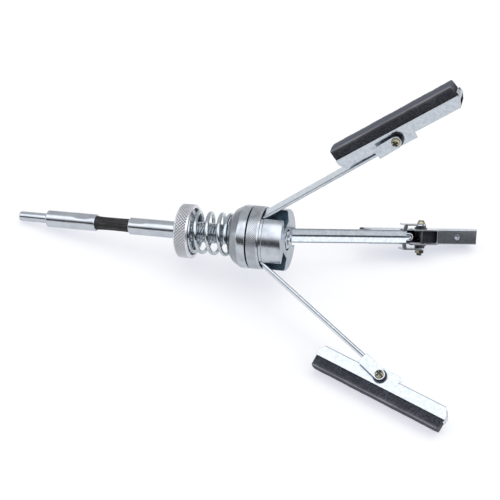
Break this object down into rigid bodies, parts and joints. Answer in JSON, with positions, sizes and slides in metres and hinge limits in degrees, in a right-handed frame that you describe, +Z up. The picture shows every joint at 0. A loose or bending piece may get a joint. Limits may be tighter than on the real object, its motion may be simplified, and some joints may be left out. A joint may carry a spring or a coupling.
{
  "type": "cylinder hone",
  "caption": "Three-legged cylinder hone with a flexible drive shank, sprung arms, swivelling stone holders and a knurled tension nut.",
  "frame": {"origin": "floor under the middle of the footprint, with the hone lying on its shank tip and two stones", "axes": "+X along the spindle's heading from the drive shank to the arms, +Z up, the spindle rising towards the arms"},
  "size_m": [0.3678, 0.2432, 0.2122],
  "materials": {
    "zinc_steel": "bright zinc plated",
    "turned_steel": "satin turned",
    "spring_steel": "bright plated",
    "yellow_zinc": "yellow zinc plated",
    "black_sleeve": "matte",
    "abrasive": "fine grit, matte"
  },
  "bodies": {
    "spindle_and_head": {"drive_shank": "zinc_steel", "drive_ferrule": "zinc_steel", "flexible_cable": "zinc_steel", "cable_sleeve": "black_sleeve", "spindle": "zinc_steel", "tension_spring": "spring_steel", "head_body": "turned_steel", "knurled_ring": "turned_steel", "arm_pivot_pins": "zinc_steel", "head_washer": "turned_steel", "head_nut": "turned_steel"},
    "thrust_washer": {"thrust_washer": "turned_steel"},
    "tension_nut": {"tension_nut": "turned_steel"},
    "pressure_collar": {"pressure_collar": "turned_steel"},
    "upper_arm": {"upper_arm": "zinc_steel", "upper_swivel_screw": "yellow_zinc", "upper_swivel_nut": "yellow_zinc", "upper_swivel_washers": "yellow_zinc"},
    "upper_holder": {"upper_stone_holder": "zinc_steel", "upper_stone": "abrasive"},
    "front_arm": {"front_arm": "zinc_steel", "front_swivel_screw": "yellow_zinc", "front_swivel_nut": "yellow_zinc", "front_swivel_washers": "yellow_zinc"},
    "front_holder": {"front_stone_holder": "zinc_steel", "front_stone": "abrasive"},
    "rear_arm": {"rear_arm": "zinc_steel", "rear_swivel_screw": "yellow_zinc", "rear_swivel_nut": "yellow_zinc", "rear_swivel_washers": "yellow_zinc"},
    "rear_holder": {"rear_stone_holder": "zinc_steel", "rear_stone": "abrasive"}
  },
  "joints": [
    {"name": "nut_travel", "type": "slide", "parent": "spindle_and_head", "child": "thrust_washer", "axis": [0.9811, 0, 0.1936], "range_m": [0, 0.012]},
    {"name": "nut_turn", "type": "hinge", "parent": "thrust_washer", "child": "tension_nut", "pos_m": [-0.0471, -0.00654, 0.0325], "axis": [0.9811, 0, 0.1936], "range_deg": [0, 2161]},
    {"name": "upper_arm_pivot", "type": "hinge", "parent": "spindle_and_head", "child": "upper_arm", "pos_m": [0.01038, -0.00705, 0.06045], "axis": [0.006, -0.9995, -0.0305], "range_deg": [-36.7, 0], "stiffness_Nm_per_rad": 0.1159, "springref_deg": 128.51},
    {"name": "front_arm_pivot", "type": "hinge", "parent": "spindle_and_head", "child": "front_arm", "pos_m": [0.01519, -0.0204, 0.03604], "axis": [0.1646, 0.5267, -0.834], "range_deg": [-36.7, 0], "stiffness_Nm_per_rad": 0.1159, "springref_deg": 128.51},
    {"name": "rear_arm_pivot", "type": "hinge", "parent": "spindle_and_head", "child": "rear_arm", "pos_m": [0.01502, 0.00782, 0.0369], "axis": [-0.1706, 0.4729, 0.8645], "range_deg": [-36.7, 0], "stiffness_Nm_per_rad": 0.1159, "springref_deg": 128.51},
    {"name": "collar_slide", "type": "slide", "parent": "spindle_and_head", "child": "pressure_collar", "axis": [0.9811, 0, 0.1936], "range_m": [-0.0038, 0], "deforming": ["tension_spring"]},
    {"name": "upper_swivel", "type": "hinge", "parent": "upper_arm", "child": "upper_holder", "pos_m": [0.10227, -0.00965, 0.16377], "axis": [-0.006, 0.9995, 0.0305], "range_deg": [-1.65, 57.1]},
    {"name": "front_swivel", "type": "hinge", "parent": "front_arm", "child": "front_holder", "pos_m": [0.13179, -0.09148, 0.01417], "axis": [-0.1646, -0.5267, 0.834], "range_deg": [-15.41, 43.34]},
    {"name": "rear_swivel", "type": "hinge", "parent": "rear_arm", "child": "rear_holder", "pos_m": [0.13075, 0.08149, 0.01944], "axis": [0.1706, -0.4729, -0.8645], "range_deg": [-0.35, 58.4]}
  ],
  "couplings": [
    {"joint": "nut_turn", "follows": "nut_travel", "rad_per_m": 3141.6},
    {"joint": "front_arm_pivot", "follows": "upper_arm_pivot", "ratio": 1},
    {"joint": "rear_arm_pivot", "follows": "upper_arm_pivot", "ratio": 1},
    {"joint": "collar_slide", "follows": "upper_arm_pivot", "m_per_rad": 0.005898}
  ]
}
